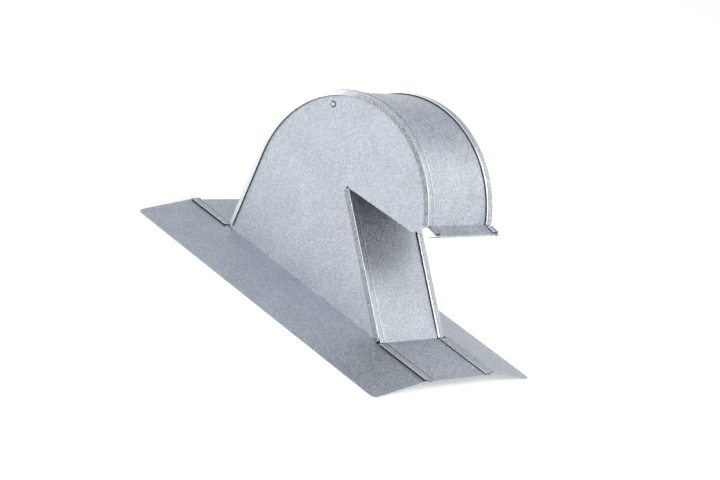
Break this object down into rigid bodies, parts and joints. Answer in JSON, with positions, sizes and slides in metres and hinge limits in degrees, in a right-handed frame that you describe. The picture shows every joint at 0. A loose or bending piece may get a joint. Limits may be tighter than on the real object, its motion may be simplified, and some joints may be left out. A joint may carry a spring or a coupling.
{
  "type": "gooseneck roof vent flashing",
  "caption": "Folded galvanised sheet steel roof vent with a curved gooseneck hood, wide flange, locked seams and an inner backdraft flap.",
  "frame": {"origin": "middle of the flange seen from above, on the plane on which the outer edges of the drooping wings rest", "axes": "+X runs down the roof slope from the upper apron to the lower one, the way the hood's nose points; +Y runs across it; +Z points away from the roof"},
  "size_m": [0.3664, 0.2668, 0.2263],
  "materials": {
    "galvanised_steel": "fine spangled zinc, semi-matt",
    "steel_wire": "drawn wire, zinc plated"
  },
  "bodies": {
    "vent": {"hood_sheet": "galvanised_steel", "throat_sheet": "galvanised_steel", "near_side_sheet": "galvanised_steel", "far_side_sheet": "galvanised_steel"},
    "damper": {"damper_flap": "galvanised_steel", "damper_hinge_wire": "steel_wire"}
  },
  "joints": [
    {"name": "damper_hinge", "type": "hinge", "parent": "vent", "child": "damper", "pos_m": [-0.05971, 0, 0.1957], "axis": [0, -1, 0], "range_deg": [0, 55]}
  ]
}
